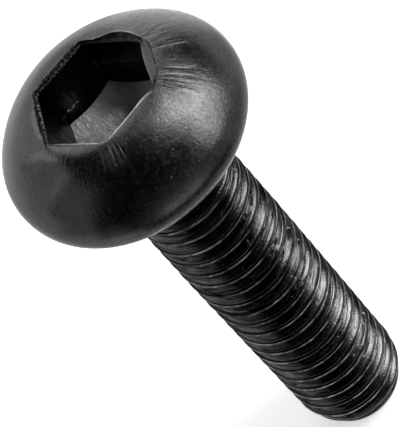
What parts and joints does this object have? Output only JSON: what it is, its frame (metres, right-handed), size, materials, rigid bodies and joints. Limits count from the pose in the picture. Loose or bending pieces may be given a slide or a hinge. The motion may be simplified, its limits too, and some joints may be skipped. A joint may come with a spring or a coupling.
{
  "type": "button head socket screw",
  "caption": "Machine screw with a low domed head, a hexagon socket and a fully threaded shank, in black steel.",
  "frame": {"origin": "centre of the flat bearing face under the head, on the screw's axis", "axes": "+Z along the screw's axis, out of the head, with the point of the shank towards -Z; +X through a corner of the hexagon socket"},
  "size_m": [0.0098, 0.0098, 0.0234],
  "materials": {
    "black_steel": "black oxide over steel, satin, a little worn on the edges"
  },
  "bodies": {
    "root": {"button_head_screw": "black_steel"}
  },
  "joints": []
}
